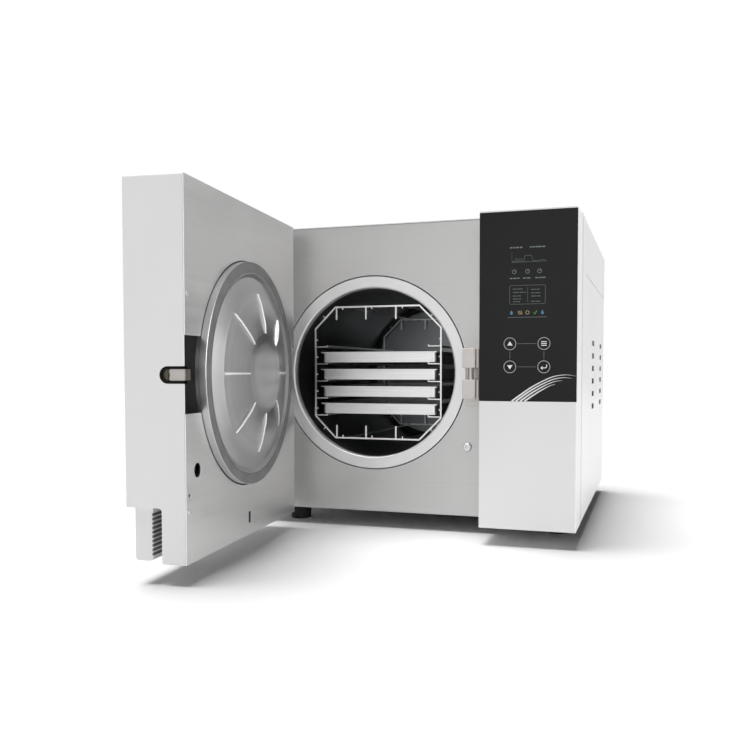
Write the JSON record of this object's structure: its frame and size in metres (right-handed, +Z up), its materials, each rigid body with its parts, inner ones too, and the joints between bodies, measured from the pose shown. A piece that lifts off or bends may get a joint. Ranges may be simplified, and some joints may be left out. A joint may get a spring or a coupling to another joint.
{
  "type": "benchtop autoclave",
  "caption": "Benchtop steam autoclave with a round steel chamber, side-hinged door with pressure lid, slide-in tray rack and a control console.",
  "frame": {"origin": "centre of the whole object's footprint, on the surface that the feet stand on, with the door open as modelled", "axes": "+Z up, +Y from the front to the back along the chamber, +X to the right as seen from the front"},
  "size_m": [0.4855, 0.8738, 0.448],
  "materials": {
    "white_plastic": "fine matt moulded plastic",
    "white_paint": "semi-matt powder coat",
    "white_grip": "fine matt moulded plastic",
    "black_gloss": "glossy printed membrane",
    "key_face": "glossy printed membrane",
    "brushed_panel": "fine brushed stainless steel",
    "door_plate": "fine brushed stainless steel",
    "polished_steel": "polished stainless steel",
    "chamber_steel": "polished deep-drawn stainless steel",
    "lid_steel": "satin polished stainless steel",
    "striker_metal": "satin nickel-plated steel",
    "rack_steel": "electropolished stainless strip",
    "tray_metal": "satin anodised aluminium",
    "seal_rubber": "dark silicone rubber",
    "foot_rubber": "matt black rubber",
    "galvanised": "galvanised sheet steel",
    "insulation": "glass-fibre felt",
    "heater_rubber": "silicone heater band",
    "tank_plastic": "translucent moulded plastic",
    "cast_aluminium": "die-cast aluminium",
    "brass": "turned brass",
    "board_green": "circuit board",
    "dark_plastic": "black moulded plastic",
    "screen": "display glass",
    "blue_plastic": "moulded plastic",
    "supply_metal": "perforated sheet aluminium"
  },
  "bodies": {
    "cabinet": {"base_pan": "galvanised", "rubber_feet": "foot_rubber", "front_panel": "brushed_panel", "side_cover_left": "white_paint", "side_cover_right": "white_paint", "top_rail": "white_paint", "upper_cover": "white_paint", "rear_panel": "white_paint", "chamber_flange": "polished_steel", "chamber_vessel": "chamber_steel", "heater_bands": "heater_rubber", "insulation_jacket": "insulation", "chamber_saddles": "galvanised", "hinge_bracket": "striker_metal", "hinge_pin": "polished_steel", "striker_bracket": "striker_metal", "striker_pin_and_screws": "polished_steel", "lock_actuator": "dark_plastic", "console_shell": "white_plastic", "console_overlay": "black_gloss", "display_module": "screen", "key_board": "board_green", "clean_water_tank": "tank_plastic", "used_water_tank": "tank_plastic", "vacuum_pump": "cast_aluminium", "water_pump": "cast_aluminium", "steam_generator": "polished_steel", "valve_block": "brass", "safety_valve": "brass", "condenser": "cast_aluminium", "fan_shroud": "dark_plastic", "main_board": "board_green", "power_supply": "supply_metal", "inlet_and_switch_case": "dark_plastic", "drain_ports": "brass", "air_filter": "tank_plastic"},
    "door": {"door_shell": "white_plastic", "door_inner_plate": "door_plate", "plate_screws": "polished_steel", "door_bar": "cast_aluminium", "pressure_lid": "lid_steel", "lid_seal": "seal_rubber", "lid_stud_and_washer": "polished_steel", "latch_frame": "striker_metal", "latch_motor": "dark_plastic", "door_grip": "white_grip"},
    "claw": {"latch_claw": "striker_metal"},
    "lock_bolt": {"lock_bolt": "polished_steel"},
    "up_key": {"up_key": "key_face"},
    "menu_key": {"menu_key": "key_face"},
    "down_key": {"down_key": "key_face"},
    "enter_key": {"enter_key": "key_face"},
    "fan": {"fan_rotor": "dark_plastic"},
    "power_rocker": {"power_rocker": "dark_plastic"},
    "filler_cap": {"filler_cap": "blue_plastic"},
    "rack": {"tray_rack": "rack_steel"},
    "tray_1": {"tray_1": "tray_metal"},
    "tray_2": {"tray_2": "tray_metal"},
    "tray_3": {"tray_3": "tray_metal"},
    "tray_4": {"tray_4": "tray_metal"}
  },
  "joints": [
    {"name": "door_hinge", "type": "hinge", "parent": "cabinet", "child": "door", "pos_m": [-0.2171, -0.1077, 0.23], "axis": [0, 0, 1], "range_deg": [-25, 84.73]},
    {"name": "claw_pivot", "type": "hinge", "parent": "door", "child": "claw", "pos_m": [-0.18556, -0.40606, 0.23], "axis": [0, 0, -1], "range_deg": [0, 60]},
    {"name": "lock_bolt_slide", "type": "slide", "parent": "cabinet", "child": "lock_bolt", "axis": [0, -1, 0], "range_m": [0, 0.014], "stiffness_N_per_m": 150},
    {"name": "fan_spin", "type": "hinge", "parent": "cabinet", "child": "fan", "pos_m": [-0.1612, 0.3894, 0.15], "axis": [0, 1, 0], "continuous": true},
    {"name": "power_rocker_tilt", "type": "hinge", "parent": "cabinet", "child": "power_rocker", "pos_m": [0.1308, 0.4244, 0.072], "axis": [1, 0, 0], "range_deg": [0, 14]},
    {"name": "filler_cap_turn", "type": "hinge", "parent": "cabinet", "child": "filler_cap", "pos_m": [-0.1212, 0.3494, 0.442], "axis": [0, 0, 1], "range_deg": [0, 90]},
    {"name": "rack_slide", "type": "slide", "parent": "cabinet", "child": "rack", "axis": [0, 1, 0], "range_m": [-0.08, 0]},
    {"name": "up_key_press", "type": "slide", "parent": "cabinet", "child": "up_key", "axis": [0, 1, 0], "range_m": [0, 0.0008], "stiffness_N_per_m": 600},
    {"name": "menu_key_press", "type": "slide", "parent": "cabinet", "child": "menu_key", "axis": [0, 1, 0], "range_m": [0, 0.0008], "stiffness_N_per_m": 600},
    {"name": "down_key_press", "type": "slide", "parent": "cabinet", "child": "down_key", "axis": [0, 1, 0], "range_m": [0, 0.0008], "stiffness_N_per_m": 600},
    {"name": "enter_key_press", "type": "slide", "parent": "cabinet", "child": "enter_key", "axis": [0, 1, 0], "range_m": [0, 0.0008], "stiffness_N_per_m": 600},
    {"name": "tray_1_slide", "type": "slide", "parent": "rack", "child": "tray_1", "axis": [0, 1, 0], "range_m": [-0.1, 0]},
    {"name": "tray_2_slide", "type": "slide", "parent": "rack", "child": "tray_2", "axis": [0, 1, 0], "range_m": [-0.1, 0]},
    {"name": "tray_3_slide", "type": "slide", "parent": "rack", "child": "tray_3", "axis": [0, 1, 0], "range_m": [-0.1, 0]},
    {"name": "tray_4_slide", "type": "slide", "parent": "rack", "child": "tray_4", "axis": [0, 1, 0], "range_m": [-0.1, 0]}
  ]
}
